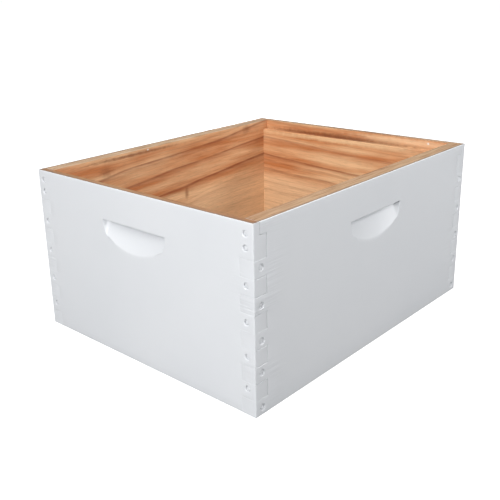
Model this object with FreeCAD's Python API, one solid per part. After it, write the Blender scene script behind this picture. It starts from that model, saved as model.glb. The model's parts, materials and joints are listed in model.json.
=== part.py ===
import FreeCAD, Part
import math
import os

# Deep hive body for ten frames: a bottomless, lidless box of four boards.  The two end boards
# and the two side boards lock together with square fingers at the corners, and a nail is
# driven through every finger.  The end boards have a rabbet along their inner top edge, on
# which the frames hang, and every board has a half-moon handhold cut in its outer face.
#
# Frame: millimetres, +Z up, origin at the centre of the footprint on the ground.  The end
# boards stand across Y (front at -Y), the side boards across X (right at +X).

# Overall size of the box.
LENGTH = 508.0
WIDTH = 412.8
HEIGHT = 244.5

# Boards and the fingers at their ends.
BOARD_THICKNESS = 22.2
FINGER_PITCH = 22.2
TOP_FINGER_ROWS = 2

# Rabbet that carries the frames' top bars.
RABBET_HEIGHT = 15.9
RABBET_LIP = 11.1

# Handhold: a straight ledge with a scooped floor that runs out below it.
HANDHOLD_WIDTH = 122.0
HANDHOLD_DEPTH = 15.0
HANDHOLD_HEIGHT = 37.0
HANDHOLD_BELOW_RIM = 47.5
HANDHOLD_FLOOR_RADIUS = 240.0
HANDHOLD_CORNER_RADIUS = 7.0

# Nails, and where they are driven.
NAIL_LENGTH = 50.0
NAIL_SHANK_DIAMETER = 2.8
NAIL_HEAD_DIAMETER = 7.0
NAIL_HEAD_THICKNESS = 1.2
NAIL_POINT_LENGTH = 5.0
NAIL_SET = 1.2
NAIL_FROM_CORNER = 12.3
NAIL_PAIR_SPREAD = 8.5

# How far each nail of a corner strays from the middle of its finger, from the top down.
END_NAIL_DRIFT = (0.0, 0.0, 1.5, 0.0, 0.1, 2.4)
SIDE_NAIL_DRIFT = (1.1, -1.4, -2.0, 1.3, -1.0)

# Values that follow from the ones above.
FINGER_ROWS = max(3, round(HEIGHT / FINGER_PITCH))
ROW_HEIGHT = HEIGHT / FINGER_ROWS
RABBET_FLOOR = HEIGHT - RABBET_HEIGHT
HANDHOLD_TOP = HEIGHT - HANDHOLD_BELOW_RIM
CUT_MARGIN = 5.0


def block(x_range, y_range, z_range):
    """A box between two corners, each range given as (low, high)."""
    sizes = [high - low for low, high in (x_range, y_range, z_range)]
    corner = FreeCAD.Vector(x_range[0], y_range[0], z_range[0])
    return Part.makeBox(*sizes, corner)


def row_range(row):
    """The lowest and highest Z of a finger row, counted from the top."""
    top = HEIGHT - row * ROW_HEIGHT
    return top - ROW_HEIGHT, top


def side_rows():
    """The finger rows that belong to the side boards: every second one below the top fingers."""
    return range(TOP_FINGER_ROWS, FINGER_ROWS, 2)


def end_rows():
    """The single finger rows that belong to the end boards, below their tall top finger."""
    return range(TOP_FINGER_ROWS + 1, FINGER_ROWS, 2)


def handhold_cutter(half_span):
    """The scoop of one handhold, cut into the face at Y = -half_span.

    A flat profile lies in the plane of the ledge: square ends, rounded corners and a gently
    curved floor.  It is carried down and outwards, so the floor meets the face below.
    """
    half = HANDHOLD_WIDTH / 2
    radius = HANDHOLD_FLOOR_RADIUS
    sagitta = radius - math.sqrt(radius**2 - half**2)
    z = HANDHOLD_TOP

    def point(x, depth):
        return FreeCAD.Vector(x, depth - half_span, z)

    outside = -HANDHOLD_DEPTH - CUT_MARGIN
    left_out, right_out = point(-half, outside), point(half, outside)
    left_in, right_in = point(-half, HANDHOLD_DEPTH - sagitta), point(half, HANDHOLD_DEPTH - sagitta)
    floor = Part.Arc(left_in, point(0, HANDHOLD_DEPTH), right_in).toShape()
    straight = [(left_out, left_in), (right_in, right_out), (right_out, left_out)]
    left_side, right_side, back = [Part.makeLine(*pair) for pair in straight]
    profile = Part.Face(Part.Wire([left_side, floor, right_side, back]))
    run = HANDHOLD_HEIGHT + CUT_MARGIN
    slope = HANDHOLD_DEPTH / HANDHOLD_HEIGHT
    scoop = profile.extrude(FreeCAD.Vector(0, -run * slope, -run))
    return scoop.makeFillet(HANDHOLD_CORNER_RADIUS, floor_edges(scoop, half))


def floor_edges(scoop, half):
    """The two long edges where the scoop's floor meets its square ends."""
    inner = scoop.BoundBox.YMax - HANDHOLD_DEPTH
    found = []
    for edge in scoop.Edges:
        start, end = (vertex.Point for vertex in edge.Vertexes)
        slanting = abs(start.z - end.z) > HANDHOLD_HEIGHT and math.isclose(abs(start.x), half)
        if slanting and max(start.y, end.y) > inner:
            found.append(edge)
    return found


def nail():
    """One nail pointing along +Y, with the top of its head at the origin."""
    along = FreeCAD.Vector(0, 1, 0)
    origin = FreeCAD.Vector(0, 0, 0)
    head = Part.makeCylinder(NAIL_HEAD_DIAMETER / 2, NAIL_HEAD_THICKNESS, origin, along)
    shank_length = NAIL_LENGTH - NAIL_POINT_LENGTH
    shank = Part.makeCylinder(NAIL_SHANK_DIAMETER / 2, shank_length, origin, along)
    tip = along * shank_length
    point = Part.makeCone(NAIL_SHANK_DIAMETER / 2, 0, NAIL_POINT_LENGTH, tip, along)
    return head.fuse([shank, point]).removeSplitter()


def nail_sink():
    """The dimple above a set nail: the head's own width, from the nail head out of the board."""
    outward = FreeCAD.Vector(0, -1, 0)
    return Part.makeCylinder(
        NAIL_HEAD_DIAMETER / 2, NAIL_SET + CUT_MARGIN, FreeCAD.Vector(0, 0, 0), outward
    )


def row_middle(row):
    """The height of the middle of a finger row."""
    return sum(row_range(row)) / 2


def end_nail_heights():
    """Heights of the nails driven through one column of end-board fingers, from the top down."""
    top_middle = HEIGHT - TOP_FINGER_ROWS * ROW_HEIGHT / 2
    middles = [top_middle + NAIL_PAIR_SPREAD, top_middle - NAIL_PAIR_SPREAD]
    middles += [row_middle(row) for row in end_rows()]
    return drifted(middles, END_NAIL_DRIFT)


def side_nail_heights():
    """Heights of the nails driven through one column of side-board fingers, from the top down."""
    return drifted([row_middle(row) for row in side_rows()], SIDE_NAIL_DRIFT)


def drifted(middles, drifts):
    """Move each height by its drift, repeating the drifts on a taller box."""
    return [z + drifts[i % len(drifts)] for i, z in enumerate(middles)]


def driven(shape, turn, x, y, z):
    """Turn a nail-like shape about Z by whole degrees and put its head at a point."""
    placed = shape.copy()
    placed.rotate(FreeCAD.Vector(0, 0, 0), FreeCAD.Vector(0, 0, 1), turn)
    placed.translate(FreeCAD.Vector(x, y, z))
    return placed


def end_column(shape, x_sign, y_sign):
    """Copies of a shape at every nail through the end board at one corner."""
    turn = 0 if y_sign < 0 else 180
    x = x_sign * (WIDTH / 2 - NAIL_FROM_CORNER)
    y = y_sign * (LENGTH / 2 - NAIL_SET)
    return [driven(shape, turn, x, y, z) for z in end_nail_heights()]


def side_column(shape, x_sign, y_sign):
    """Copies of a shape at every nail through the side board at one corner."""
    turn = 90 if x_sign > 0 else -90
    x = x_sign * (WIDTH / 2 - NAIL_SET)
    y = y_sign * (LENGTH / 2 - NAIL_FROM_CORNER)
    return [driven(shape, turn, x, y, z) for z in side_nail_heights()]


def rabbet_cutters():
    """The front board's rabbet, as the ledge for the frames between the side boards and,
    beyond it at each end, the slot that a side board's tongue fills."""
    outside = WIDTH / 2 + CUT_MARGIN
    inside = WIDTH / 2 - BOARD_THICKNESS
    limits = (-outside, -inside, inside, outside)
    inner = BOARD_THICKNESS - LENGTH / 2
    depth = (RABBET_LIP - LENGTH / 2, inner + CUT_MARGIN)
    height = (RABBET_FLOOR, HEIGHT + CUT_MARGIN)
    return [block(x_range, depth, height) for x_range in zip(limits, limits[1:])]


def front_end_board():
    """The front end board without its nail holes."""
    half_width, half_length = WIDTH / 2, LENGTH / 2
    across = (-half_width, half_width)
    inner = BOARD_THICKNESS - half_length
    board = block(across, (-half_length, inner), (0, HEIGHT))
    sockets = [
        block(
            (x - BOARD_THICKNESS, x + BOARD_THICKNESS),
            (-half_length - CUT_MARGIN, inner + CUT_MARGIN),
            row_range(row),
        )
        for x in across
        for row in side_rows()
    ]
    return board.cut(rabbet_cutters() + [handhold_cutter(half_length)] + sockets)


def mirrored_in_y(shape):
    """The same shape at the other end of the box."""
    return shape.mirror(FreeCAD.Vector(0, 0, 0), FreeCAD.Vector(0, 1, 0))


def right_side_board(end_boards):
    """The right side board, with the end boards' fingers cut out of its corners."""
    half_width, half_length = WIDTH / 2, LENGTH / 2
    plank = block(
        (half_width - BOARD_THICKNESS, half_width), (-half_length, half_length), (0, HEIGHT)
    )
    handhold = handhold_cutter(half_width)
    handhold.rotate(FreeCAD.Vector(0, 0, 0), FreeCAD.Vector(0, 0, 1), 90)
    return plank.cut(list(end_boards) + [handhold])


def mirrored_in_x(shape):
    """The same shape on the other side of the box."""
    return shape.mirror(FreeCAD.Vector(0, 0, 0), FreeCAD.Vector(1, 0, 0))


def corner_name(x_sign, y_sign):
    """Which corner of the box a pair of signs means."""
    return f"{'front' if y_sign < 0 else 'rear'}_{'left' if x_sign < 0 else 'right'}"


def hive_body():
    """Every piece of the hive body, by node name."""
    front = front_end_board()
    rear = mirrored_in_y(front)
    right = right_side_board((front, rear))
    boards = {
        "front_end_board": front,
        "rear_end_board": rear,
        "right_side_board": right,
        "left_side_board": mirrored_in_x(right),
    }
    pieces = {}
    bores = []
    corners = [(x_sign, y_sign) for y_sign in (-1, 1) for x_sign in (-1, 1)]
    for corner in corners:
        end_nails = end_column(nail(), *corner)
        side_nails = side_column(nail(), *corner)
        pieces[f"end_nails_{corner_name(*corner)}"] = Part.makeCompound(end_nails)
        pieces[f"side_nails_{corner_name(*corner)}"] = Part.makeCompound(side_nails)
        sinks = end_column(nail_sink(), *corner) + side_column(nail_sink(), *corner)
        bores += end_nails + side_nails + sinks
    for name, board in boards.items():
        pieces[name] = board.cut(bores)
    return pieces


def main():
    os.makedirs("parts", exist_ok=True)
    for name, shape in hive_body().items():
        solids = len(shape.Solids)
        print(f"{name}: {solids} solid(s), valid {shape.isValid()}, {shape.Volume / 1000:.1f} cm3")
        shape.exportStep(f"parts/{name}.step")


main()
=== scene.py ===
"""A deep hive body for ten frames: four finger-jointed pine boards, painted outside, and nails.

Every board, and every column of nails, is a surface worked out here in place of the plain solid of
the same name.  Lengths are metres in the part's own frame: +Z up, the front end board at -Y and the
right side board at +X.  A board is drawn in its own flat frame first: "along" it, "up" it, and
"deep" into it from the outer face, and is then turned to the wall that it makes.
"""

import json
import logging
import math
from dataclasses import dataclass
from enum import Enum
from functools import cached_property

import bpy
import numpy as np
from mathutils import Matrix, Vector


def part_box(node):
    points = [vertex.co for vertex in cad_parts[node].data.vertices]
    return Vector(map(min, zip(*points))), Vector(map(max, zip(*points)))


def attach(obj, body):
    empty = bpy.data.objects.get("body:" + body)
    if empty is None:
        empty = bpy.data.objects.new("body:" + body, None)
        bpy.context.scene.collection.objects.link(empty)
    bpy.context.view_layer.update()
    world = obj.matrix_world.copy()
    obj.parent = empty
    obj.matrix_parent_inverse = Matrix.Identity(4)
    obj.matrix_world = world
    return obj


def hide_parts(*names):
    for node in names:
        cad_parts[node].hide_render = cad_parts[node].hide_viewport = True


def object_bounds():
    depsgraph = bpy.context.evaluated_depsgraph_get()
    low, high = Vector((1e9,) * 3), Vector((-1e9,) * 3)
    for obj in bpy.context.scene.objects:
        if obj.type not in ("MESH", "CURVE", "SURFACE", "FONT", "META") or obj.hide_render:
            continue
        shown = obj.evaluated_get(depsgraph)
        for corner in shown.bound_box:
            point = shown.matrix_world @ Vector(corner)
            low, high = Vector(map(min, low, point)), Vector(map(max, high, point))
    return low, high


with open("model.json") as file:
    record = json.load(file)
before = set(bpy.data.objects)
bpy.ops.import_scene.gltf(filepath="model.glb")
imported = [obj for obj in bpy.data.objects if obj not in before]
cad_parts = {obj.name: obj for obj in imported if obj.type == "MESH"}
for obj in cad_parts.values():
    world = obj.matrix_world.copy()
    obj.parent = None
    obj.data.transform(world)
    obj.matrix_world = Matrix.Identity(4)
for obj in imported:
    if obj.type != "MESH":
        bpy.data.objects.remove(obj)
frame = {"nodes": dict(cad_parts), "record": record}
CAD_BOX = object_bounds()

MM = 0.001
BODY = "root"
SHARP_ANGLE = math.radians(40)
NAIL_GAP = 4 * MM
GRID_DECIMALS = 6
TINY = 1e-9
STEP = 0.02 * MM
PAIR = np.array([-STEP, STEP]) / 2
FRONT_NAILS = ("end_nails_front_left", "end_nails_front_right")
REAR_NAILS = ("end_nails_rear_left", "end_nails_rear_right")
RIGHT_NAILS = ("side_nails_front_right", "side_nails_rear_right")
LEFT_NAILS = ("side_nails_front_left", "side_nails_rear_left")
log = logging.getLogger("hive_body")

Socket = bpy.types.NodeSocket
Tree = bpy.types.NodeTree
Material = bpy.types.Material


# ---------------------------------------------------------------- shapes that pieces share


class Wall(Enum):
    """Which wall of the box a board makes, as quarter turns about Z from the front."""

    FRONT = 0
    RIGHT = 1
    REAR = 2
    LEFT = 3

    @property
    def turn(self) -> np.ndarray:
        """The matrix that rows of flat-frame points are multiplied by to stand at this wall."""
        cosine, sine = ((1, 0), (0, 1), (-1, 0), (0, -1))[self.value]
        return np.array([[cosine, sine, 0], [-sine, cosine, 0], [0, 0, 1]], float)


def corners_of(node: str, wall: Wall) -> tuple[np.ndarray, np.ndarray]:
    """A CAD node's lowest and highest corners in the flat frame of a wall."""
    corners = np.array([list(corner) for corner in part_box(node)]) @ wall.turn.T
    return corners.min(0), corners.max(0)


def eased(distance: np.ndarray, radius: float) -> np.ndarray:
    """A rounded edge's drop: radius - sqrt(radius^2 - (radius - distance)^2), and then none."""
    short = np.clip(radius - distance, 0, radius)
    return radius - np.sqrt(radius**2 - short**2)


def easing_lines(radius: float, count: int = 4) -> np.ndarray:
    """Distances from an edge at which its rounding has turned by equal angles."""
    return radius * (1 - np.cos(np.linspace(0, np.pi / 2, count + 1)))


def lines_through(marks: list[np.ndarray], low: float, high: float, widest: float) -> np.ndarray:
    """The grid lines of one direction: every mark, with wide gaps divided evenly.

    Args:
        marks: where the shape needs a line.
        low: the first line.
        high: the last line.
        widest: the widest gap that is left.

    Returns:
        The lines in rising order.
    """
    wanted = np.concatenate([*marks, [low, high]])
    wanted = np.unique(np.round(wanted[(wanted >= low) & (wanted <= high)], GRID_DECIMALS))
    parts = [
        np.linspace(start, end, math.ceil((end - start) / widest) + 1)[:-1]
        for start, end in zip(wanted, wanted[1:])
    ]
    return np.concatenate([*parts, wanted[-1:]])


def put_in_scene(name: str, data: bpy.types.ID) -> bpy.types.Object:
    """Puts a mesh, a lamp or a camera into the scene.

    Args:
        name: the new object's name.
        data: what it is an object of.

    Returns:
        The object.
    """
    piece = bpy.data.objects.new(name, data)
    bpy.context.scene.collection.objects.link(piece)
    return piece


def mesh_object(
    name: str, points: np.ndarray, faces: np.ndarray, slots: np.ndarray, materials: list[Material]
) -> bpy.types.Object:
    """Puts a surface of four-sided faces into a new piece.

    Args:
        name: the piece's name.
        points: one row per vertex.
        faces: one row of four vertex numbers per face; a triangle repeats its last one.
        slots: each face's material slot.
        materials: the materials, in slot order.

    Returns:
        The piece, smooth but for its sharp edges.
    """
    used, numbers = np.unique(faces, return_inverse=True)
    points, faces = points[used], numbers.reshape(faces.shape)
    triangle = faces[:, 3] == faces[:, 2]
    mesh = bpy.data.meshes.new(name)
    mesh.from_pydata(
        points.tolist(), [], faces[~triangle].tolist() + faces[triangle, :3].tolist()
    )
    ordered = np.concatenate([slots[~triangle], slots[triangle]])
    mesh.polygons.foreach_set("material_index", ordered.astype(np.int32))
    mesh.polygons.foreach_set("use_smooth", np.ones(len(ordered), bool))
    for material in materials:
        mesh.materials.append(material)
    mesh.set_sharp_from_angle(angle=SHARP_ANGLE)
    mesh.update()
    return put_in_scene(name, mesh)


def fit(piece: bpy.types.Object, node: str) -> None:
    """Lets a piece stand for a CAD node and ride with the box.

    Args:
        piece: the finished piece.
        node: the CAD node that it replaces.
    """
    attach(piece, BODY)
    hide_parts(node)


# ---------------------------------------------------------------- materials


def linear(code: str) -> tuple[float, float, float, float]:
    """A colour written as an sRGB hex code, as the linear colour that nodes take.

    Args:
        code: the colour, such as "#e6e8ea".

    Returns:
        Linear red, green and blue, and an alpha of one.
    """
    values = [int(code[i : i + 2], 16) / 255 for i in (1, 3, 5)]
    curve = [v / 12.92 if v <= 0.04045 else ((v + 0.055) / 1.055) ** 2.4 for v in values]
    return (*curve, 1.0)


def add(
    tree: Tree,
    kind: str,
    inputs: dict | list | tuple = (),
    output: int | str = 0,
    **settings: str,
) -> Socket | None:
    """Adds one node to a tree.

    Args:
        tree: the tree.
        kind: the node's type name, without "ShaderNode".
        inputs: what feeds its inputs, by name or number or in the node's own order: each one a
            socket, a constant or a colour's hex code.
        output: which output to hand back.
        settings: the node's own settings.

    Returns:
        The node's output socket, or nothing where it has no output.
    """
    node = tree.nodes.new("ShaderNode" + kind)
    for name, value in settings.items():
        setattr(node, name, value)
    for key, value in inputs.items() if isinstance(inputs, dict) else enumerate(inputs):
        if isinstance(value, Socket):
            tree.links.new(value, node.inputs[key])
        else:
            constant = linear(value) if isinstance(value, str) else value
            node.inputs[key].default_value = constant
    return node.outputs[output] if node.outputs else None


def new_material(name: str) -> tuple[Material, Tree]:
    """Starts a material with an empty node tree.

    Args:
        name: the material's name.

    Returns:
        The material and its tree.
    """
    material = bpy.data.materials.new(name)
    material.use_nodes = True
    material.node_tree.nodes.clear()
    return material, material.node_tree


def edge_distances(tree: Tree, place: Socket) -> tuple[Socket, Socket]:
    """How far a point lies in from the box's outer faces, by the nearer and by the farther pair.

    Each is half the box's size less the point's distance from the middle.  On an outer face the
    nearer one is nothing, and the farther one is the distance to the nearest corner of the box.

    Args:
        tree: the material's tree.
        place: the point.

    Returns:
        The nearer and the farther distance.
    """
    half = tuple(float(high) for high in CAD_BOX[1])
    size = add(tree, "VectorMath", [place], operation="ABSOLUTE")
    inward = add(tree, "VectorMath", [half, size], operation="SUBTRACT")
    pair = [add(tree, "SeparateXYZ", [inward], axis) for axis in (0, 1)]
    nearer = add(tree, "Math", pair, operation="MINIMUM")
    farther = add(tree, "Math", pair, operation="MAXIMUM")
    return nearer, farther


@dataclass(frozen=True)
class PaintFinish:
    """White exterior acrylic, brushed over planed pine.

    It gives the eye a clean satin white that the brush has left very slightly ridged along the
    boards, a little rougher beside the joints, where it was worked into the seams.  The ridges,
    above all those beside the joints, are wider than a bristle leaves, so that they can be seen.
    """

    name: str = "white_exterior_acrylic"
    colour: str = "#e9ebee"
    shade: str = "#e1e4e8"
    roughness: tuple[float, float] = (0.31, 0.43)
    ior: float = 1.49
    cloud: float = 143 * MM
    brush_ridge: float = 1.6 * MM
    brush_stroke: float = 90 * MM
    ridge_height: float = 0.05 * MM
    grain_ridge: float = 5 * MM
    grain_height: float = 0.06 * MM
    stipple: float = 1.3 * MM
    stipple_height: float = 0.012 * MM
    joint_reach: float = 80 * MM
    joint_full: float = 12 * MM
    joint_height: float = 0.2 * MM
    joint_ridge: float = 3.2 * MM
    joint_patch: float = 62.5 * MM
    patch_limits: tuple[float, float] = (0.42, 0.62)

    def surface(self, tree: Tree, place: Socket) -> tuple[Socket, Socket, Socket]:
        """The paint's colour, roughness and height at a point, for any tree that shows it.

        Args:
            tree: the material's tree.
            place: the point.

        Returns:
            Colour, roughness and height in metres.
        """
        cells = {"Vector": place, "Scale": 1 / self.cloud, "Detail": 3.0}
        clouds = add(tree, "TexNoise", cells)
        colour = add(tree, "MixRGB", [clouds, self.shade, self.colour])
        rough = add(tree, "MapRange", [clouds, 0.0, 1.0, *self.roughness])
        return colour, rough, self.relief(tree, place)

    def relief(self, tree: Tree, place: Socket) -> Socket:
        """Brush ridges, the grain that shows through, the roller's stipple and the joint ridges.

        Each is a noise whose cells are as tall as the ridge and as long as the stroke.

        Args:
            tree: the material's tree.
            place: the point.

        Returns:
            The height in metres.
        """
        farther = edge_distances(tree, place)[1]
        limits = [farther, self.joint_reach, self.joint_full, 0.0, self.joint_height]
        near_joint = add(tree, "MapRange", limits, interpolation_type="SMOOTHSTEP")
        cells = {"Vector": place, "Scale": 1 / self.joint_patch, "Detail": 1.0}
        patches = add(tree, "MapRange", [add(tree, "TexNoise", cells), *self.patch_limits])
        patchy = add(tree, "Math", [near_joint, patches], operation="MULTIPLY")
        layers = [
            (self.brush_ridge, self.brush_stroke, self.ridge_height),
            (self.grain_ridge, self.brush_stroke * 2, self.grain_height),
            (self.stipple, self.stipple, self.stipple_height),
            (self.joint_ridge, self.joint_reach, patchy),
        ]
        height = 0.0
        for tall, long, rise in layers:
            scale = (1 / long, 1 / long, 1 / tall)
            cells = add(tree, "VectorMath", [place, scale], operation="MULTIPLY")
            ridges = add(tree, "TexNoise", {"Vector": cells, "Scale": 1.0, "Detail": 2.0})
            height = add(tree, "Math", [ridges, rise, height], operation="MULTIPLY_ADD")
        return height

    def material(self) -> Material:
        """Makes the paint a material of its own.

        Returns:
            The material.
        """
        material, tree = new_material(self.name)
        place = add(tree, "TexCoord", output="Object")
        colour, rough, height = self.surface(tree, place)
        bump = add(tree, "Bump", {"Height": height, "Strength": 1.0, "Distance": 1.0})
        inputs = {"Base Color": colour, "Roughness": rough, "Normal": bump, "IOR": self.ior}
        shader = add(tree, "BsdfPrincipled", inputs)
        add(tree, "OutputMaterial", {"Surface": shader})
        return material


class Grain(Enum):
    """Which axis of the box a board's grain runs along, with the two axes across it."""

    ALONG_X = (0.0, 1.0, 1.0)
    ALONG_Y = (1.0, 0.0, 1.0)

    def stretched(self, across: float, along: float) -> tuple[float, ...]:
        """The scale that makes a pattern's cells so wide across the grain and so long along it."""
        return tuple(1 / across if crossing else 1 / along for crossing in self.value)


@dataclass(frozen=True)
class Figure:
    """A noise in the wood: its cells' size across and along the grain, its number of finer layers,
    and which two of its values become which two values of what it drives."""

    across: float
    along: float
    detail: float
    start: tuple[float, float] = (0.0, 1.0)
    end: tuple[float, float] = (0.0, 1.0)


@dataclass(frozen=True)
class StainOrShade:
    """A soft-edged patch on the wood: a small knot, a bruise or a pale band, or a band of painted
    shade under an edge or in a corner.
    """

    centre: tuple[float, float, float]
    reach: tuple[float, float, float]
    strength: float = 0.5
    colour: str = "#8a4f2c"


@dataclass(frozen=True)
class Ring:
    """One bold growth ring: its distance from the heart, its darkness and how far in it fades."""

    radius: float
    strength: float
    haze: float = 10 * MM


@dataclass(frozen=True)
class PineFinish:
    """Bare radiata pine, planed and left without varnish.

    It gives the eye warm orange wood with long dark latewood lines, which are sharp on the side
    of the bark and fade towards the heart, with fine fibres and pale, slightly weathered rims.
    The heart of the log is a line: it passes at a height and a depth, and leans along the board.
    The fibres and flecks are drawn several times wider than real ones, so that they can be seen.
    """

    name: str
    grain: Grain
    heart: tuple[float, float, float]
    lean: float
    rings: tuple[Ring, ...]
    pale_within: float
    # The stains, with the bands of painted shade under an edge or in a corner.
    stains_and_shade: tuple[StainOrShade, ...] = ()
    seed: float = 0.0
    pale: str = "#f0c79b"
    early: str = "#ecbf91"
    middle: str = "#c87f4c"
    late: str = "#8a3f1a"
    rim: str = "#b89e82"
    rim_streak: str = "#7d5838"
    weathered: str = "#7d6c5f"
    roughness: float = 0.55
    ior: float = 1.5
    patch: Figure = Figure(17 * MM, 200 * MM, 4.0, (0.36, 0.64))
    breaks: Figure = Figure(5 * MM, 40 * MM, 3.0, (0.3, 0.55), (0.55, 1.0))
    fibre: Figure = Figure(1.4 * MM, 38 * MM, 3.0, (0.3, 0.7), (0.9, 1.1))
    fleck: Figure = Figure(1.6 * MM, 13 * MM, 3.0, (0.3, 0.48), (0.88, 1.0))
    wander: Figure = Figure(60 * MM, 190 * MM, 1.0, end=(-7 * MM, 7 * MM))
    waver: Figure = Figure(12 * MM, 110 * MM, 2.0, end=(-1.3 * MM, 1.3 * MM))
    streak: Figure = Figure(2.2 * MM, 45 * MM, 3.0, (0.42, 0.7))
    ragged: Figure = Figure(5 * MM, 9 * MM, 4.0, end=(0.0, -5 * MM))
    fibre_relief: float = 0.3 * MM
    fibre_strength: float = 0.8
    pale_fade: float = 25 * MM
    crisp: float = 1.6 * MM
    shadow: float = 3 * MM
    shadow_share: float = 0.4
    ramp_margin: float = 20 * MM
    fine_ring: float = 2.6 * MM
    fine_limits: tuple[float, float] = (0.5, 0.8)
    fine_strength: float = 0.22
    seed_spread: float = 7.0
    stain_or_shade_cell: float = 8.33 * MM
    stain_or_shade_wobble: float = 0.7
    stain_or_shade_limits: tuple[float, float] = (1.35, 0.4)
    rim_limits: tuple[float, float] = (0.7 * MM, 0.2 * MM)
    rim_share: float = 0.75
    grey_limits: tuple[float, float] = (3 * MM, -1.4 * MM)
    grey_share: float = 0.9
    run_limits: tuple[float, float] = (-1.8 * MM, -2.0 * MM)

    def raw(self, tree: Tree, place: Socket, figure: Figure) -> Socket:
        """The noise of a figure, stretched along the grain.

        Args:
            tree: the material's tree.
            place: the point.
            figure: the figure.

        Returns:
            The noise, from none to one.
        """
        scale = self.grain.stretched(figure.across, figure.along)
        inputs = [place, scale, (self.seed, self.seed, self.seed)]
        cells = add(tree, "VectorMath", inputs, operation="MULTIPLY_ADD")
        return add(tree, "TexNoise", {"Vector": cells, "Scale": 1.0, "Detail": figure.detail})

    def drawn(self, tree: Tree, place: Socket, figure: Figure) -> Socket:
        """A figure, as the value of what it drives."""
        return add(tree, "MapRange", [self.raw(tree, place, figure), *figure.start, *figure.end])

    def heart_distance(self, tree: Tree, place: Socket) -> Socket:
        """A point's distance from the leaning heart line, which wanders and wavers a little.

        Args:
            tree: the material's tree.
            place: the point.

        Returns:
            The distance in metres.
        """
        lean = math.atan(self.lean)
        turn = (-lean, 0.0, 0.0) if self.grain is Grain.ALONG_Y else (0.0, lean, 0.0)
        centred = add(tree, "VectorMath", [place, self.heart], operation="SUBTRACT")
        turned = add(tree, "Mapping", {"Vector": centred, "Rotation": turn})
        across = add(tree, "VectorMath", [turned, self.grain.value], operation="MULTIPLY")
        distance = add(tree, "VectorMath", [across], "Value", operation="LENGTH")
        for figure in (self.wander, self.waver):
            bend = self.drawn(tree, place, figure)
            distance = add(tree, "Math", [distance, bend], operation="ADD")
        return distance

    def bold_rings(self, tree: Tree, distance: Socket) -> Socket:
        """How dark the bold rings make a point.

        A ramp runs out from the heart: before each ring it rises over the haze, part of the way
        up to the shadow and then fully, and past the ring it drops over the crisp width.

        Args:
            tree: the material's tree.
            distance: the point's distance from the heart.

        Returns:
            None to one.
        """
        span = self.rings[-1].radius + self.ramp_margin
        share = add(tree, "Math", [distance, span], operation="DIVIDE")
        dark = add(tree, "ValToRGB", [share])
        elements = dark.node.color_ramp.elements
        elements.remove(elements[1])
        elements[0].color = (0.0, 0.0, 0.0, 1.0)
        for ring in self.rings:
            stops = [
                (ring.radius - ring.haze, 0.0),
                (ring.radius - self.shadow, self.shadow_share * ring.strength),
                (ring.radius, ring.strength),
                (ring.radius + self.crisp, 0.0),
            ]
            for radius, level in stops:
                elements.new(radius / span).color = (level, level, level, 1.0)
        return dark

    def fine_rings(self, tree: Tree, distance: Socket) -> Socket:
        """Faint narrow lines between the bold rings: noise that changes only outwards.

        Args:
            tree: the material's tree.
            distance: the point's distance from the heart.

        Returns:
            How dark they make the point.
        """
        cells = add(tree, "Math", [distance, self.fine_ring], operation="DIVIDE")
        shifted = add(tree, "Math", [cells, self.seed * self.seed_spread], operation="ADD")
        inputs = {"W": shifted, "Scale": 1.0, "Detail": 2.0}
        layers = add(tree, "TexNoise", inputs, noise_dimensions="1D")
        return add(tree, "MapRange", [layers, *self.fine_limits, 0.0, self.fine_strength])

    def stained_and_shaded(self, tree: Tree, place: Socket, colour: Socket) -> Socket:
        """Lays the stains, and the bands of painted shade, over a colour.

        Each fades from its middle to its reach, measured with a little noise so that its edge
        is ragged.

        Args:
            tree: the material's tree.
            place: the point.
            colour: the wood's colour.

        Returns:
            The colour with the stains and the painted shade.
        """
        cells = {"Vector": place, "Scale": 1 / self.stain_or_shade_cell, "Detail": 3.0}
        wobble = add(tree, "TexNoise", cells)
        for stain_or_shade in self.stains_and_shade:
            inward = add(tree, "VectorMath", [place, stain_or_shade.centre], operation="SUBTRACT")
            shares = add(tree, "VectorMath", [inward, stain_or_shade.reach], operation="DIVIDE")
            away = add(tree, "VectorMath", [shares], "Value", operation="LENGTH")
            ragged = [wobble, self.stain_or_shade_wobble, away]
            away = add(tree, "Math", ragged, operation="MULTIPLY_ADD")
            fade = [away, *self.stain_or_shade_limits, 0.0, stain_or_shade.strength]
            mask = add(tree, "MapRange", fade, interpolation_type="SMOOTHSTEP")
            colour = add(tree, "MixRGB", [mask, colour, stain_or_shade.colour])
        return colour

    def wood_colour(self, tree: Tree, place: Socket) -> Socket:
        """The wood's colour: early wood to late wood, with slow patches, stains, painted shade and
        fine fibres.

        Args:
            tree: the material's tree.
            place: the point.

        Returns:
            The colour.
        """
        patches = self.drawn(tree, place, self.patch)
        base = add(tree, "MixRGB", [patches, self.early, self.middle])
        distance = self.heart_distance(tree, place)
        limits = [distance, self.pale_within, self.pale_within - self.pale_fade]
        inner = add(tree, "MapRange", limits, interpolation_type="SMOOTHSTEP")
        base = add(tree, "MixRGB", [inner, base, self.pale])
        lines = [self.bold_rings(tree, distance), self.fine_rings(tree, distance)]
        late = add(tree, "Math", lines, operation="MAXIMUM")
        breaks = self.drawn(tree, place, self.breaks)
        late = add(tree, "Math", [late, breaks], operation="MULTIPLY")
        ringed = add(tree, "MixRGB", [late, base, self.late])
        ringed = self.stained_and_shaded(tree, place, ringed)
        shades = [self.drawn(tree, place, figure) for figure in (self.fibre, self.fleck)]
        shade = add(tree, "Math", shades, operation="MULTIPLY")
        return add(tree, "VectorMath", {0: ringed, "Scale": shade}, operation="SCALE")

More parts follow.
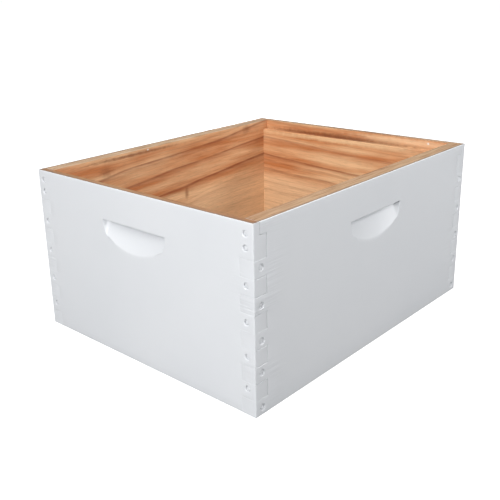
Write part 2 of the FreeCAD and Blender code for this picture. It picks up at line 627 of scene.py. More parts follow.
    def material(self, paint: PaintFinish) -> Material:
        """The bare faces and rims of one board, with a little paint run over the outer edges.

        Args:
            paint: the paint that runs over.

        Returns:
            The material.
        """
        material, tree = new_material(self.name)
        place = add(tree, "TexCoord", output="Object")
        wood = self.wood_colour(tree, place)
        half = float(CAD_BOX[1][2]) / 2
        height = add(tree, "SeparateXYZ", [place], 2)
        from_middle = add(tree, "Math", [height, half], operation="SUBTRACT")
        from_middle = add(tree, "Math", [from_middle], operation="ABSOLUTE")
        limits = [half - limit for limit in self.rim_limits]
        on_rim = add(tree, "MapRange", [from_middle, *limits])
        streaks = self.drawn(tree, place, self.streak)
        pale = add(tree, "MixRGB", [streaks, self.rim, self.rim_streak])
        mostly = add(tree, "Math", [on_rim, self.rim_share], operation="MULTIPLY")
        colour = add(tree, "MixRGB", [mostly, wood, pale])
        inset = [edge_distances(tree, place)[0], self.drawn(tree, place, self.ragged)]
        worn = add(tree, "Math", inset, operation="ADD")
        coats = [
            (self.grey_limits, self.grey_share, self.weathered),
            (self.run_limits, 1.0, paint.colour),
        ]
        for limits, most, over in coats:
            share = add(tree, "MapRange", [worn, *limits, 0.0, most])
            share = add(tree, "Math", [share, on_rim], operation="MULTIPLY")
            colour = add(tree, "MixRGB", [share, colour, over])
        relief = {"Strength": self.fibre_strength, "Distance": self.fibre_relief}
        bump = add(tree, "Bump", {"Height": self.raw(tree, place, self.fibre), **relief})
        inputs = {"Base Color": colour, "Roughness": self.roughness, "Normal": bump}
        shader = add(tree, "BsdfPrincipled", inputs | {"IOR": self.ior})
        add(tree, "OutputMaterial", {"Surface": shader})
        return material


@dataclass(frozen=True)
class NailFinish:
    """Galvanised steel, whose head the paint brush has gone over.

    It gives the eye a painted head, and a dull grey shank where a nail is drawn out.
    """

    name: str = "galvanised_steel_painted_head"
    steel: str = "#9a9da0"
    painted_depth: tuple[float, float] = (2.0 * MM, 2.2 * MM)

    def material(self, paint: PaintFinish) -> Material:
        """Paint down to a depth below the box's faces, and zinc beyond it.

        Args:
            paint: the paint on the head.

        Returns:
            The material.
        """
        material, tree = new_material(self.name)
        place = add(tree, "TexCoord", output="Object")
        coat, rough, height = paint.surface(tree, place)
        depth = edge_distances(tree, place)[0]
        bare = add(tree, "MapRange", [depth, *self.painted_depth])
        colour = add(tree, "MixRGB", [bare, coat, self.steel])
        bump = add(tree, "Bump", {"Height": height, "Strength": 1.0, "Distance": 1.0})
        inputs = {"Base Color": colour, "Metallic": bare, "Roughness": rough, "Normal": bump}
        shader = add(tree, "BsdfPrincipled", inputs)
        add(tree, "OutputMaterial", {"Surface": shader})
        return material


# ---------------------------------------------------------------- boards


@dataclass(frozen=True)
class Handhold:
    """The half-moon grip: a level ledge, and a floor that runs out to the face below it.

    Across the grip the floor lies p(along) = depth - (R - sqrt(R^2 - along^2)) deep under the
    ledge, and it rises at an even slope down the face, so its lower edge is an arc.  A corner
    radius joins it to the grip's upright ends.
    """

    top: float
    width: float = 122 * MM
    depth: float = 15 * MM
    height: float = 37 * MM
    floor_radius: float = 240 * MM
    corner_radius: float = 9.5 * MM
    ledge_rounding: float = 0.7 * MM
    middle_lines: int = 22
    corner_lines: int = 10
    down_lines: int = 26
    side_margin: float = 40 * MM
    lower_margin: float = 70 * MM

    @property
    def half(self) -> float:
        """Half the grip's width."""
        return self.width / 2

    @property
    def slope(self) -> float:
        """How much shallower the floor gets for each metre down the face."""
        return self.depth / self.height

    @property
    def shoulder(self) -> float:
        """How far from the middle the corner radius begins."""
        return self.half - self.corner_radius

    def under_ledge(self, along: np.ndarray) -> np.ndarray:
        """How deep the floor lies right under the ledge, without the corners."""
        return self.depth - self.floor_radius + np.sqrt(self.floor_radius**2 - along**2)

    def lines_along(self) -> np.ndarray:
        """The grid lines across the grip, close together in its corners and double at its ends.

        Returns:
            Their places along the board.
        """
        middle = np.linspace(0, self.shoulder, self.middle_lines)
        turned = np.linspace(0, np.pi / 2, self.corner_lines)[1:-1]
        corner = self.shoulder + self.corner_radius * np.sin(turned)
        end = self.half + PAIR
        beside = self.half + easing_lines(self.ledge_rounding)
        right = np.concatenate([middle, corner, end, beside])
        return np.concatenate([right, -right])

    def lines_up(self) -> np.ndarray:
        """The grid lines down the grip, double at the ledge."""
        below = -np.linspace(0, self.height, self.down_lines)[1:]
        return self.top + np.concatenate([below, PAIR, easing_lines(self.ledge_rounding)])

    def shift(self, along: np.ndarray, up: np.ndarray) -> tuple[np.ndarray, np.ndarray]:
        """Moves the grid so that its lines follow the grip's outline.

        Inside the grip, the point a share a across and a share b down goes to a times the
        outline's half-width at b, and b times its height at a.  Outside, the move of the nearest
        outline point fades out evenly over the margins.

        Args:
            along: the grid's places along the board.
            up: the grid's places up the board.

        Returns:
            How far each place moves along and up.
        """
        across = np.clip(along / self.half, -1, 1)
        down = np.clip((self.top - up) / self.height, 0, 1)
        at_shoulder = self.under_ledge(np.array(self.shoulder))
        radius = self.corner_radius
        left_deep = np.clip(at_shoulder * (1 - down), 0, radius)
        side = self.shoulder + np.sqrt(radius**2 - (radius - left_deep) ** 2)
        drop = self.under_ledge(self.shoulder * across) / self.slope
        beyond_side = np.clip(np.abs(along) - self.half, 0, self.side_margin)
        beyond_foot = np.clip(self.top - self.height - up, 0, self.lower_margin)
        fade = (1 - beyond_side / self.side_margin) * (1 - beyond_foot / self.lower_margin)
        return across * (side - self.half) * fade, -down * (drop - self.height) * fade

    def sunk(self, along: np.ndarray, up: np.ndarray, inside: np.ndarray) -> np.ndarray:
        """How deep the surface lies at each place.

        Args:
            along: places along the board, already shifted.
            up: places up the board, already shifted.
            inside: which places belong to the grip.

        Returns:
            The depth, with the ledge's edge rounded.
        """
        reach = np.abs(along)
        down = np.clip(self.top - up, 0, None)
        plain = np.minimum(reach, self.shoulder)
        in_corner = np.clip(reach - self.shoulder, 0, self.corner_radius)
        corner = self.corner_radius - np.sqrt(self.corner_radius**2 - in_corner**2)
        floor = self.under_ledge(plain) - self.slope * down - corner
        past_end = np.clip(reach - self.half, 0, None)
        edge = np.hypot(past_end, np.clip(up - self.top, 0, None))
        face = np.where(up >= self.top, eased(edge, self.ledge_rounding), 0)
        return np.where(inside, np.clip(floor, 0, None), face)

    def holds(self, along: np.ndarray, up: np.ndarray) -> np.ndarray:
        """Which places of the unshifted grid lie within the grip's outline."""
        beside = np.abs(along) < self.half
        return beside & (up < self.top) & (up > self.top - self.height)


@dataclass(frozen=True)
class NailDimple:
    """The dish that a driven nail leaves: a round hole with a flat floor, in a crisp-rimmed bowl.

    Rings of the grid that were square about the nail become circles near it, so the hole is
    round, and ease back to squares at the patch's edge.
    """

    along: float
    up: float
    radius: float
    floor: float
    lip: float
    lip_drop: float
    patch: float = 7.5 * MM
    hole_lines: int = 5
    lip_shares: tuple[float, ...] = (0.0, 0.3, 0.5, 0.7, 0.85, 1.0)

    def offsets(self) -> np.ndarray:
        """Grid lines on both sides of the nail, at equal angles round the hole's wall.

        Returns:
            Their distances from the nail.
        """
        inner = (self.radius - STEP) * np.tan(np.linspace(0, np.pi / 4, self.hole_lines))
        outer = self.radius + self.lip * np.array(self.lip_shares)
        right = np.concatenate([inner, outer, [self.patch]])
        return np.concatenate([right, -right])

    def shift(self, along: np.ndarray, up: np.ndarray) -> tuple[np.ndarray, np.ndarray]:
        """Moves square rings of the grid to circles.

        A place at square distance s and straight distance r from the nail moves to s / r of its
        way out, and the move fades between the lip and the patch's edge.

        Args:
            along: the grid's places along the board.
            up: the grid's places up the board.

        Returns:
            How far each place moves along and up.
        """
        right, above = along - self.along, up - self.up
        square = np.maximum(np.abs(right), np.abs(above))
        straight = np.maximum(np.hypot(right, above), TINY)
        full = self.radius + self.lip
        fade = np.clip((self.patch - square) / (self.patch - full), 0, 1)
        pull = (square / straight - 1) * fade
        return right * pull, above * pull

    def sunk(self, along: np.ndarray, up: np.ndarray) -> np.ndarray:
        """How deep the surface lies at each place.

        It is the floor inside the hole, and outside it a bowl that rises by the square of the
        distance from the hole.

        Args:
            along: the places along the board.
            up: the places up the board.

        Returns:
            The depth.
        """
        away = np.hypot(along - self.along, up - self.up)
        bowl = self.lip_drop * (1 - np.clip((away - self.radius) / self.lip, 0, 1) ** 2)
        return np.where(away < self.radius - STEP / 2, self.floor, bowl)


@dataclass(frozen=True)
class Gap:
    """A rectangle where a board has no wood: past an end or a rim, or between two fingers.

    It repeats at both ends of the board.  The wood's edges along it are rounded to a radius.
    """

    start: float
    low: float
    high: float
    radius: float

    def distance(self, along: np.ndarray, up: np.ndarray) -> np.ndarray:
        """How far each place lies from the rectangle's nearest point, in a straight line.

        Args:
            along: the places along the board.
            up: the places up the board.

        Returns:
            The distance.
        """
        aside = np.clip(self.start - np.abs(along), 0, None)
        above = np.maximum(np.maximum(self.low - up, up - self.high), 0)
        return np.hypot(aside, above)

    def lines_along(self) -> np.ndarray:
        """The grid lines that its rounding needs along the board."""
        right = self.start - easing_lines(self.radius)
        return np.concatenate([right, -right])

    def lines_up(self) -> np.ndarray:
        """The grid lines that its rounding needs up the board."""
        steps = easing_lines(self.radius)
        return np.concatenate([self.low - steps, self.high + steps])


@dataclass
class FingerBoard:
    """A board of the box, with square fingers at both ends, a handhold and dimples at its nails."""

    node: str
    wall: Wall
    finish: PineFinish
    nail_nodes: tuple[str, ...]
    finger_rows: int = 11
    top_finger_rows: int = 2
    handhold_below_rim: float = 47.5 * MM
    end_rounding: float = 1.3 * MM
    rim_rounding: float = 0.9 * MM
    seam_rounding: float = 0.9 * MM
    finger_rounding: float = 0.9 * MM
    dish_lip: float = 1.5 * MM
    dish_drop: float = 1.1 * MM
    inner_rounding: float = 0.6 * MM
    corner_reach: float = 3 * MM
    widest_cell: float = 14 * MM
    beyond: float = 1.0

    def __post_init__(self) -> None:
        """Reads the board's size from its CAD node."""
        low, high = corners_of(self.node, self.wall)
        self.half = float(high[0])
        self.height = float(high[2])
        self.outer = float(low[1])
        self.thickness = float(high[1] - low[1])
        self.root = self.half - self.thickness
        self.handhold = Handhold(top=self.height - self.handhold_below_rim)

    @cached_property
    def rabbet(self) -> tuple[float, float]:
        """Where the rabbet is, worked out from the record's mount on its ledge.

        Returns:
            The height of the ledge that carries the frames, and the lip's thickness above it.
        """
        mount = next(m for m in frame["record"]["mounts"] if m["name"] == "rear_frame_rest")
        half_length = float(CAD_BOX[1][1])
        lip = 2 * (half_length - mount["pos_m"][1]) - self.thickness
        return mount["pos_m"][2], lip

    @cached_property
    def dimples(self) -> list[NailDimple]:
        """Measures where this board is nailed.

        Returns:
            A dimple for every nail driven through it.
        """
        dish = (self.dish_lip, self.dish_drop)
        nails = [nail for node in self.nail_nodes for nail in nails_of(node, self.wall)]
        return [NailDimple(n.along, n.up, n.radius, n.seat - self.outer, *dish) for n in nails]

    def row_range(self, first: int, count: int = 1) -> tuple[float, float]:
        """The heights between which finger rows lie, counted from the top."""
        row = self.height / self.finger_rows
        return self.height - (first + count) * row, self.height - first * row

    def gaps(self) -> list[Gap]:
        """Where the board has no wood; the board that crosses it has its own fingers there."""
        raise NotImplementedError

    def edges(self) -> list[Gap]:
        """The space past the board's ends and its rims."""
        reach = self.beyond
        return [
            Gap(self.half, -reach, reach, self.end_rounding),
            Gap(-reach, self.height, reach, self.rim_rounding),
            Gap(-reach, -reach, 0.0, self.rim_rounding),
        ]

    def inner_depth(self, along: np.ndarray, up: np.ndarray) -> np.ndarray:
        """How deep the board's inner face lies, with its edges rounded.

        Args:
            along: the places along the board.
            up: the places up the board.

        Returns:
            The depth from the outer face.
        """
        seam = eased(self.half - np.abs(along), self.finger_rounding)
        rims = eased(self.height - up, self.inner_rounding) + eased(up, self.inner_rounding)
        return self.thickness - np.maximum(seam, rims)

    def extra_lines(self) -> np.ndarray:
        """More grid lines up the board that its inner face needs."""
        steps = easing_lines(self.inner_rounding)
        return np.concatenate([self.height - steps, steps])

    def grid(self) -> tuple[np.ndarray, np.ndarray]:
        """Draws grid lines through every feature of the board.

        Returns:
            The lines along the board and the lines up it.
        """
        every = self.gaps() + self.edges()
        seam = self.half - easing_lines(self.finger_rounding)
        along = [gap.lines_along() for gap in every] + [seam, -seam]
        along += [dimple.along + dimple.offsets() for dimple in self.dimples]
        up = [gap.lines_up() for gap in every] + [self.extra_lines()]
        up += [dimple.up + dimple.offsets() for dimple in self.dimples]
        along.append(self.handhold.lines_along())
        up.append(self.handhold.lines_up())
        return (
            lines_through(along, -self.half, self.half, self.widest_cell),
            lines_through(up, 0.0, self.height, self.widest_cell),
        )

    def build(self) -> tuple[np.ndarray, np.ndarray, np.ndarray]:
        """Works the board out on one grid: an outer and an inner face, and walls between them.

        Returns:
            The points, the faces and each face's slot: 0 for paint and 1 for bare wood.
        """
        lines_along, lines_up = self.grid()
        along, up = np.meshgrid(lines_along, lines_up, indexing="ij")
        middle_along = (along[1:, 1:] + along[:-1, :-1]) / 2
        middle_up = (up[1:, 1:] + up[:-1, :-1]) / 2
        wood = np.all([gap.distance(middle_along, middle_up) > 0 for gap in self.gaps()], axis=0)
        in_grip = self.handhold.holds(along, up)
        moves = [shape.shift(along, up) for shape in [self.handhold, *self.dimples]]
        moves.append(self.finger_corners(along, up))
        placed_along = along + sum(move[0] for move in moves)
        placed_up = up + sum(move[1] for move in moves)
        sunk = [eased(gap.distance(along, up), gap.radius) for gap in self.gaps() + self.edges()]
        sunk.append(self.handhold.sunk(placed_along, placed_up, in_grip))
        sunk += [dimple.sunk(placed_along, placed_up) for dimple in self.dimples]
        outer = np.stack([placed_along, np.max(sunk, axis=0), placed_up], axis=-1)
        inner = np.stack([placed_along, self.inner_depth(along, up), placed_up], axis=-1)
        points = np.concatenate([outer.reshape(-1, 3), inner.reshape(-1, 3)])
        points[:, 1] += self.outer
        faces, slots = self.faces(wood, np.abs(middle_along) < self.half - self.finger_rounding)
        return points @ self.wall.turn, faces, slots

    def finger_corners(self, along: np.ndarray, up: np.ndarray) -> tuple[np.ndarray, np.ndarray]:
        """Rounds the corners of each finger's end, as its four outer edges are rounded.

        A line beside a gap moves into the wood by the end's easing, less and less over a reach.

        Args:
            along: the grid's places along the board.
            up: the grid's places up the board.

        Returns:
            How far each place moves along and up.
        """
        near_end = eased(self.half - np.abs(along), self.finger_rounding)
        move = np.zeros_like(up)
        for gap in self.gaps() + self.edges()[1:]:
            above = np.clip(1 - np.abs(up - gap.high) / self.corner_reach, 0, 1)
            below = np.clip(1 - np.abs(up - gap.low) / self.corner_reach, 0, 1)
            move += near_end * (above * (up >= gap.high) - below * (up <= gap.low))
        return np.zeros_like(up), move

    def faces(self, wood: np.ndarray, within: np.ndarray) -> tuple[np.ndarray, np.ndarray]:
        """The faces of a board on its grid.

        Args:
            wood: which cells of the grid hold wood.
            within: which cells are far enough from the board's ends to be bare on the inside.

        Returns:
            The faces, as four vertex numbers each, and each face's slot.
        """
        across, high = wood.shape[0] + 1, wood.shape[1] + 1
        numbers = np.arange(across * high).reshape(across, high)
        low_left, low_right = numbers[:-1, :-1], numbers[1:, :-1]
        high_right, high_left = numbers[1:, 1:], numbers[:-1, 1:]
        inner = across * high
        front = np.stack([low_left, low_right, high_right, high_left], axis=-1)[wood]
        back = front[:, ::-1] + inner
        framed = np.pad(wood, 1)
        sides = [
            (framed[:-2, 1:-1], high_left, low_left),
            (framed[2:, 1:-1], low_right, high_right),
            (framed[1:-1, :-2], low_left, low_right),
            (framed[1:-1, 2:], high_right, high_left),
        ]
        rims = np.zeros(wood.shape, bool)
        rims[:, [0, -1]] = True
        walls, wall_slots = [], []
        for side, (neighbour, start, end) in enumerate(sides):
            open_side = wood & ~neighbour
            first, last = start[open_side], end[open_side]
            walls.append(np.stack([last, first, first + inner, last + inner], axis=-1))
            wall_slots.append((rims & (side > 1))[open_side])
        faces = np.concatenate([front, back, *walls])
        slots = np.concatenate([np.zeros(len(front)), within[wood], *wall_slots])
        return faces, slots

    def make(self, paint: PaintFinish, coat: Material) -> bpy.types.Object:
        """Builds the board and dresses it.

        Args:
            paint: the paint that runs over the rims.
            coat: the paint's material.

        Returns:
            The piece.
        """
        points, faces, slots = self.build()
        name = self.node + "_planed"
        piece = mesh_object(name, points, faces, slots, [coat, self.finish.material(paint)])
        fit(piece, self.node)
        return piece


@dataclass
class EndBoard(FingerBoard):
    """A short board, with a rabbet along its inner top edge and a tall finger at the top.

    Its seams and nail dishes are fainter than a side board's, as if it was sanded smoother.
    """

    seam_rounding: float = 0.3 * MM
    dish_lip: float = 1.0 * MM
    dish_drop: float = 0.6 * MM

    def gaps(self) -> list[Gap]:
        """The slots that the side boards' fingers fill."""
        rows = range(self.top_finger_rows, self.finger_rows, 2)
        return [Gap(self.root, *self.row_range(row), self.seam_rounding) for row in rows]

    def inner_depth(self, along: np.ndarray, up: np.ndarray) -> np.ndarray:
        """The inner face, cut back to the lip above the rabbet's ledge.

        Args:
            along: the places along the board.
            up: the places up the board.

        Returns:
            The depth from the outer face.
        """
        floor, lip = self.rabbet
        below = super().inner_depth(along, up)
        ledge = eased(floor - up, self.inner_rounding)
        above = below - self.thickness + lip
        return np.where(up > floor, above, below - ledge)

    def extra_lines(self) -> np.ndarray:
        """The rounding's lines, and those at the rabbet's ledge."""
        ledge = np.concatenate([PAIR, -easing_lines(self.inner_rounding)[1:]])
        return np.concatenate([super().extra_lines(), self.rabbet[0] + ledge])


@dataclass
class SideBoard(FingerBoard):
    """A long board, with a tongue at each top corner that fills the end of the rabbet."""

    finger_rounding: float = 0.3 * MM

    def gaps(self) -> list[Gap]:
        """The slots that the end boards' fingers fill, and the step above each tongue.

        Returns:
            The gaps.
        """
        floor, lip = self.rabbet
        radius = self.seam_rounding
        tall = self.row_range(0, self.top_finger_rows)
        rows = range(self.top_finger_rows + 1, self.finger_rows, 2)
        single = [Gap(self.root, *self.row_range(row), radius) for row in rows]
        beside_tongue = Gap(self.half - lip, floor, self.beyond, radius)
        return [Gap(self.root, tall[0], floor, radius), beside_tongue, *single]


# ---------------------------------------------------------------- nails


@dataclass(frozen=True)
class Nail:
    """One driven nail, measured on its CAD solid: where it goes in, how deep, and how wide."""

    along: float
    up: float
    head: float
    tip: float
    radius: float
    head_thickness: float = 1.2 * MM

    @property
    def seat(self) -> float:
        """How deep the underside of the head lies, in the wall's flat frame."""
        return self.head + self.head_thickness


def nails_of(node: str, wall: Wall) -> list[Nail]:
    """Measures the nails of a CAD node.

    Its vertices are sorted by height, and a gap wider than any inside a nail starts the next one.

    Args:
        node: the node's name.
        wall: the wall that the nails are driven through.

    Returns:
        The nails, from the lowest up.
    """
    mesh = frame["nodes"][node].data
    points = np.empty(len(mesh.vertices) * 3, np.float32)
    mesh.vertices.foreach_get("co", points)
    points = points.reshape(-1, 3).astype(float) @ wall.turn.T
    points = points[np.argsort(points[:, 2])]
    starts = np.flatnonzero(np.diff(points[:, 2]) > NAIL_GAP) + 1
    found = []
    for group in np.split(points, starts):
        low, high = group.min(0), group.max(0)
        middle = (low + high) / 2
        radius = float(high[0] - low[0]) / 2
        found.append(Nail(middle[0], middle[2], float(low[1]), float(high[1]), radius))
    return found


@dataclass
class NailColumn:
    """The nails of one column, as one piece: flat heads with softened rims, on pointed shanks."""

    node: str
    wall: Wall
    shank_radius: float = 1.4 * MM
    point_length: float = 5.0 * MM
    dome: float = 0.15 * MM
    rim_rounding: float = 0.45 * MM
    clearance: float = 0.5 * MM
    tilt: float = 0.16
    top_clear: float = 0.05 * MM
    seed: int = 5
    sides: int = 32
    rings: int = 5

    def profile(self, nail: Nail) -> np.ndarray:
        """A nail's outline from the top of its head to its tip, as rows of radius and depth.

        The head is a shallow dome, radius^2 deep, that rounds over to an upright rim.

        Args:
            nail: the nail.

        Returns:
            The outline, without its two ends on the axis.
        """
        full = nail.radius - self.clearance
        flat = full - self.rim_rounding
        dome = np.arange(1, self.rings + 1) / self.rings * flat
        bend = np.linspace(0, np.pi / 2, self.rings)[1:]
        head = [[r, nail.head + self.dome * (r / full) ** 2] for r in dome]
        turned = np.stack([np.sin(bend), 1 - np.cos(bend)], axis=-1)
        rim = [flat, head[-1][1]] + self.rim_rounding * turned
        point = nail.tip - self.point_length
        shank = [[full, nail.seat], [self.shank_radius, nail.seat], [self.shank_radius, point]]
        return np.concatenate([head, rim, shank])

    def turned(self, nail: Nail, tilt: np.ndarray) -> tuple[np.ndarray, np.ndarray]:
        """Turns a nail's outline round its axis: each row is a ring, and both poles are closed.

        The head's top slopes, like that of a nail that went in a little askew.

        Args:
            nail: the nail.
            tilt: how steeply the head's top slopes along the wall and up it.

        Returns:
            The points and the faces.
        """
        outline = self.profile(nail)
        angle = np.arange(self.sides) * 2 * np.pi / self.sides
        radius, deep = outline[:, :1], outline[:, 1:]
        across, above = radius * np.cos(angle), radius * np.sin(angle)
        on_top = deep < nail.seat - self.top_clear
        deep = deep + on_top * (tilt[0] * across + tilt[1] * above)
        rings = np.stack([nail.along + across, deep, nail.up + above], axis=-1).reshape(-1, 3)
        poles = [[nail.along, nail.head, nail.up], [nail.along, nail.tip, nail.up]]
        numbers = np.arange(len(rings)).reshape(len(outline), self.sides)
        after = np.roll(numbers, -1, axis=1)
        sides = np.stack([numbers[:-1], numbers[1:], after[1:], after[:-1]], axis=-1)
        top, bottom = len(rings), len(rings) + 1
        first = np.stack([numbers[0], after[0], np.full(self.sides, top)], axis=-1)
        last = np.stack([after[-1], numbers[-1], np.full(self.sides, bottom)], axis=-1)
        caps = np.concatenate([first, last])
        faces = np.concatenate([sides.reshape(-1, 4), caps[:, [0, 1, 2, 2]]])
        return np.concatenate([rings, poles]), faces

    def make(self, steel: Material) -> bpy.types.Object:
        """Builds the column and dresses it.

        Args:
            steel: the nails' material.

        Returns:
            The piece.
        """
        points, faces, count = [], [], 0
        draws = np.random.default_rng(self.seed)
        for nail in nails_of(self.node, self.wall):
            nail_points, nail_faces = self.turned(nail, draws.uniform(-self.tilt, self.tilt, 2))
            points.append(nail_points)
            faces.append(nail_faces + count)
            count += len(nail_points)
        placed = np.concatenate(points) @ self.wall.turn
        every = np.concatenate(faces)
        piece = mesh_object(self.node + "_driven", placed, every, np.zeros(len(every)), [steel])
        fit(piece, self.node)
        return piece


# ---------------------------------------------------------------- studio


@dataclass(frozen=True)
class Softbox:
    """A square soft lamp, hung at a place and pointed at a target."""

    name: str
    place: tuple[float, float, float]
    target: tuple[float, float, float]
    size: float
    power: float

    def hang(self) -> None:
        """Puts the lamp into the scene, turned so that it shines on its target."""
        lamp = bpy.data.lights.new(self.name, "AREA")
        lamp.shape = "SQUARE"
        lamp.size = self.size
        lamp.energy = self.power
        holder = put_in_scene(self.name, lamp)
        holder.location = self.place
        x, y, z = np.array(self.target) - np.array(self.place)
        tilt, turn = math.atan2(math.hypot(x, y), -z), math.atan2(y, x) - math.pi / 2
        holder.rotation_euler = (tilt, 0.0, turn)


# Each lamp's name, place, target, size in metres and power in watts.
LIGHTS = (
    Softbox("front_light", (0.3, -2.0, 1.0), (0.1, 0.0, 0.1), 1.2, 29.0),
    Softbox("high_light", (0.2, -1.7, 2.3), (0.05, -0.2, 0.12), 0.5, 13.0),
    Softbox("side_light", (1.05, -0.45, 1.0), (0.2, 0.05, 0.15), 0.3, 4.7),
    Softbox("side_fill", (1.2, 0.8, 0.7), (0.2, 0.25, 0.2), 0.3, 7.6),
    Softbox("inside_light", (0.0, 0.0, 1.2), (0.0, 0.0, 0.0), 0.35, 3.2),
    Softbox("back_fill", (-1.9, 2.0, 0.13), (0.0, 0.0, 0.12), 0.2, 34.0),
)


@dataclass
class Studio:
    """A pale floor, soft light and the camera."""

    floor_size: float = 60.0
    floor_drop: float = 0.2 * MM
    floor_colour: str = "#fafafa"
    floor_bounce: str = "#8c8c8c"
    floor_glow: float = 0.75
    floor_roughness: float = 0.9
    sky_high: float = 0.6
    azimuth: float = 43.984
    elevation: float = 18.429
    roll: float = -1.867
    distance: float = 1.1425
    aim: tuple[float, float, float] = (-0.0523, -0.0455, 0.1333)
    lens: float = 52.65
    sensor: float = 36.0
    shift: tuple[float, float] = (0.0696, -0.0468)

    def floor(self) -> None:
        """Lays the floor just under the box.

        To the camera it is pale and glows a little, and it throws less light back at the box
        than so pale a floor would, so that the box's sides keep their shade.
        """
        reach = self.floor_size / 2
        level = -self.floor_drop
        corners = [(-reach, -reach), (reach, -reach), (reach, reach), (-reach, reach)]
        mesh = bpy.data.meshes.new("studio_floor")
        mesh.from_pydata([(x, y, level) for x, y in corners], [], [(0, 1, 2, 3)])
        material, tree = new_material("matt_white_board")
        seen = add(tree, "LightPath", output="Is Camera Ray")
        colour = add(tree, "MixRGB", [seen, self.floor_bounce, self.floor_colour])
        glow = add(tree, "Math", [seen, self.floor_glow], operation="MULTIPLY")
        inputs = {"Base Color": colour, "Roughness": self.floor_roughness}
        inputs |= {"Emission Color": "#ffffff", "Emission Strength": glow}
        shader = add(tree, "BsdfPrincipled", inputs)
        add(tree, "OutputMaterial", {"Surface": shader})
        mesh.materials.append(material)
        floor = put_in_scene("studio_floor", mesh)

    def sky(self) -> None:
        """Lights the room evenly from overhead.

        The world is white to the camera, and its light grows with the square of the height that
        it comes from.
        """
        world = bpy.data.worlds.new("studio_light")
        world.use_nodes = True
        bpy.context.scene.world = world
        tree = world.node_tree
        tree.nodes.clear()
        direction = add(tree, "TexCoord", output="Generated")
        height = add(tree, "SeparateXYZ", [direction], 2)
        height = add(tree, "Math", [height, 0.0], operation="MAXIMUM")
        light = add(tree, "Math", [height, height], operation="MULTIPLY")
        light = add(tree, "Math", [light, self.sky_high], operation="MULTIPLY")
        seen = add(tree, "LightPath", output="Is Camera Ray")
        strength = add(tree, "MapRange", [seen, 0.0, 1.0, light, 1.0])
        background = add(tree, "Background", {"Color": "#ffffff", "Strength": strength})
        add(tree, "OutputWorld", {"Surface": background})

    def camera(self) -> None:
        """Sets the camera up: back from its aim along the azimuth and elevation, then rolled."""
        turn, rise = math.radians(self.azimuth), math.radians(self.elevation)
        back = np.array(
            [math.sin(turn) * math.cos(rise), -math.cos(turn) * math.cos(rise), math.sin(rise)]
        )
        lens = bpy.data.cameras.new("camera")
        lens.lens = self.lens
        lens.sensor_width = self.sensor
        lens.shift_x, lens.shift_y = self.shift
        camera = put_in_scene("camera", lens)
        camera.location = np.array(self.aim) + self.distance * back
        upright = Matrix.Rotation(turn, 4, "Z") @ Matrix.Rotation(math.pi / 2 - rise, 4, "X")
        rolled = upright @ Matrix.Rotation(math.radians(self.roll), 4, "Z")
        camera.rotation_euler = rolled.to_euler()
        bpy.context.scene.camera = camera

    def build(self) -> None:
        """Sets up the whole studio, with plain display colours so that white stays white."""
        self.floor()
        self.sky()
        for light in LIGHTS:
            light.hang()
        self.camera()
        bpy.context.scene.view_settings.view_transform = "Standard"


# ---------------------------------------------------------------- the object


def rings(*pairs: tuple[float, ...]) -> tuple[Ring, ...]:
    """Growth rings, each from its radius, its strength and, if it is given, its haze."""
    return tuple(Ring(*pair) for pair in pairs)


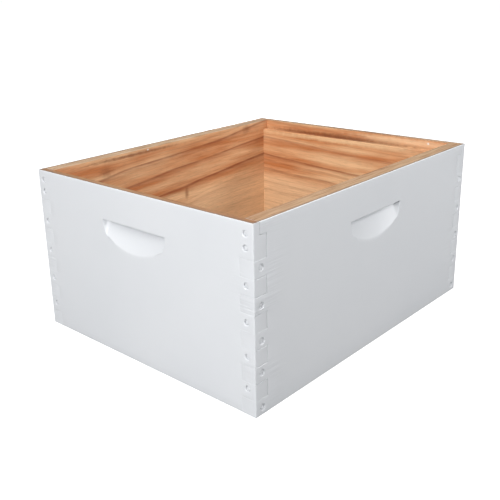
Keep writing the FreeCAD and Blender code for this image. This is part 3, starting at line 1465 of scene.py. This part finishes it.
def boards() -> list[FingerBoard]:
    """Cuts each board from its own place in a log.

    Returns:
        The four boards.
    """
    left_pine = PineFinish(
        name="radiata_pine_left",
        rim="#c6af96",
        grain=Grain.ALONG_Y,
        heart=(-0.104, 0.0, 0.060),
        lean=0.085,
        pale_within=0.122,
        rings=rings((0.084, 0.2), (0.105, 0.25), (0.13, 0.95), (0.158, 0.8), (0.181, 0.8)),
        stains_and_shade=(
            # Painted shadow: a dark band just under the rim, along the near half of the left wall's
            # inner face.
            StainOrShade((-0.184, -0.09, 0.2385), (0.02, 0.13, 0.004), 0.8),
            StainOrShade((-0.184, -0.06, 0.2415), (0.003, 0.003, 0.002), 1.0, "#f4f4f2"),
            StainOrShade((-0.184, 0.023, 0.150), (0.02, 0.007, 0.017), 0.65),
            StainOrShade((-0.184, 0.183, 0.236), (0.02, 0.016, 0.012), 0.55),
            StainOrShade((-0.184, -0.146, 0.222), (0.02, 0.022, 0.014), 0.5),
        ),
    )
    right_pine = PineFinish(
        name="radiata_pine_right",
        grain=Grain.ALONG_Y,
        heart=(0.28, 0.0, 0.02),
        lean=-0.04,
        pale_within=0.15,
        rings=rings((0.12, 0.6), (0.145, 0.8), (0.168, 0.5), (0.19, 0.9), (0.213, 0.6)),
        seed=3.1,
    )
    front_pine = PineFinish(
        name="radiata_pine_front",
        rim="#9e7856",
        rim_streak="#7d5c43",
        grain=Grain.ALONG_X,
        heart=(0.0, -0.33, 0.10),
        lean=0.05,
        pale_within=0.11,
        rings=rings((0.101, 0.5), (0.12, 0.8), (0.139, 0.6), (0.16, 0.8), (0.18, 0.5)),
        seed=7.7,
    )
    rear_pine = PineFinish(
        name="radiata_pine_rear",
        grain=Grain.ALONG_X,
        heart=(0.0, 0.32, 0.01),
        lean=-0.045,
        pale_within=0.168,
        rings=rings(
            (0.131, 0.3, 5 * MM),
            (0.143, 0.3, 5 * MM),
            (0.1625, 0.5, 4 * MM),
            (0.1765, 0.35, 4 * MM),
            (0.1855, 0.8, 7 * MM),
            (0.216, 0.5, 15 * MM),
            (0.24, 0.35),
        ),
        stains_and_shade=(
            # Painted shade: a dark band over the rabbet's ledge and the foot of the lip above it.
            StainOrShade((-0.02, 0.243, 0.2295), (0.26, 0.0125, 0.008), 0.85, "#7c4a2b"),
            StainOrShade((-0.05, 0.2318, 0.2255), (0.22, 0.004, 0.007), 0.7, "#f6cfa0"),
            StainOrShade((0.12, 0.243, 0.238), (0.16, 0.012, 0.008), 0.6, "#f3cfa8"),
            StainOrShade((0.15, 0.243, 0.239), (0.003, 0.003, 0.003), 1.0, "#f4f4f2"),
        ),
        seed=11.3,
    )
    return [
        EndBoard("front_end_board", Wall.FRONT, front_pine, FRONT_NAILS),
        EndBoard("rear_end_board", Wall.REAR, rear_pine, REAR_NAILS),
        SideBoard("right_side_board", Wall.RIGHT, right_pine, RIGHT_NAILS),
        SideBoard("left_side_board", Wall.LEFT, left_pine, LEFT_NAILS),
    ]


def report(piece: bpy.types.Object) -> None:
    """Logs a piece's name and size."""
    log.info("%s: %d faces", piece.name, len(piece.data.polygons))


def main() -> None:
    """Builds the boards, drives the nails and sets up the studio."""
    logging.basicConfig(level=logging.INFO, format="%(name)s: %(message)s")
    paint = PaintFinish()
    steel = NailFinish().material(paint)
    coats = {
        EndBoard: paint.material(),
        SideBoard: PaintFinish("white_exterior_acrylic_brushed", joint_height=0.9 * MM).material(),
    }
    for board in boards():
        report(board.make(paint, coats[type(board)]))
        for node in board.nail_nodes:
            report(NailColumn(node, board.wall).make(steel))
    Studio().build()
    bpy.context.view_layer.update()


if __name__ == "__main__":
    main()
